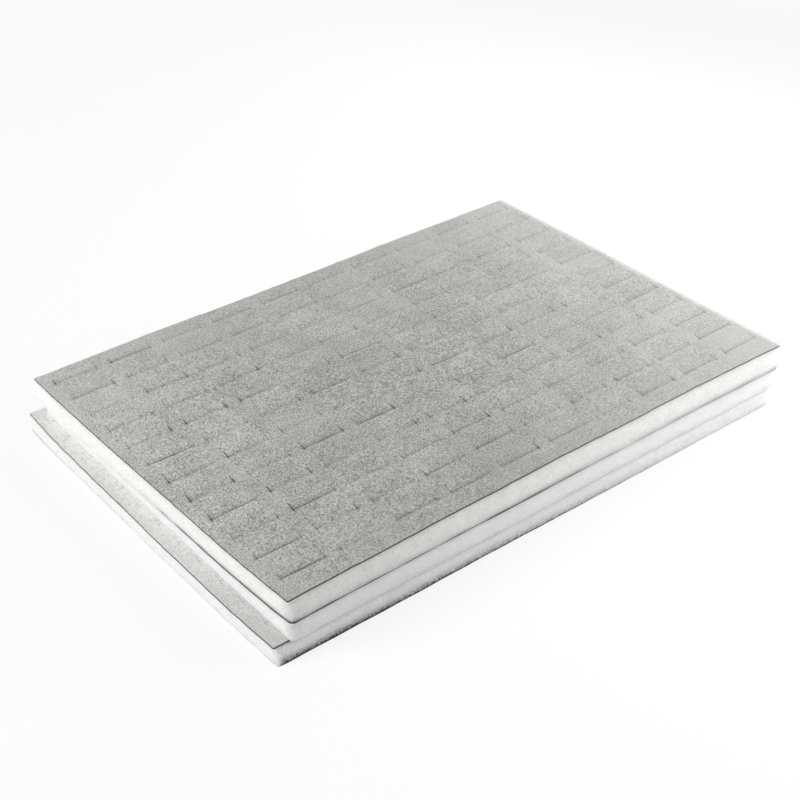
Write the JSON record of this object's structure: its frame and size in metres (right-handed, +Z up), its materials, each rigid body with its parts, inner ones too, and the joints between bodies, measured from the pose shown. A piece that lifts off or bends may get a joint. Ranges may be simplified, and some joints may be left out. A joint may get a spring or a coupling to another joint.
{
  "type": "ring display pad stack",
  "caption": "Loose stack of flat velvet-faced foam pads, slit in rows to hold finger rings for display or in a jewelry tray. Each pad lifts off the one below.",
  "frame": {"origin": "centre of the bottom pad's underside, on the surface that the stack stands on", "axes": "+X along the pads' length to the right, +Y across them to the back, +Z up out of the velvet"},
  "size_m": [0.3484, 0.2358, 0.0345],
  "materials": {
    "foam": "white soft foam, sawn edges with fine open cells",
    "adhesive_film": "dark grey bonding film, matte at its cut edge",
    "velvet": "light grey short-pile velvet with brushed nap"
  },
  "bodies": {
    "bottom_pad": {"bottom_pad_foam": "foam", "bottom_pad_adhesive_film": "adhesive_film", "bottom_pad_velvet": "velvet"},
    "middle_pad": {"middle_pad_foam": "foam", "middle_pad_adhesive_film": "adhesive_film", "middle_pad_velvet": "velvet"},
    "top_pad": {"top_pad_foam": "foam", "top_pad_adhesive_film": "adhesive_film", "top_pad_velvet": "velvet"}
  },
  "joints": [
    {"name": "middle_pad_lift", "type": "slide", "parent": "bottom_pad", "child": "middle_pad", "axis": [0, 0, 1], "range_m": [0, 0.06]},
    {"name": "top_pad_lift", "type": "slide", "parent": "middle_pad", "child": "top_pad", "axis": [0, 0, 1], "range_m": [0, 0.06]}
  ]
}
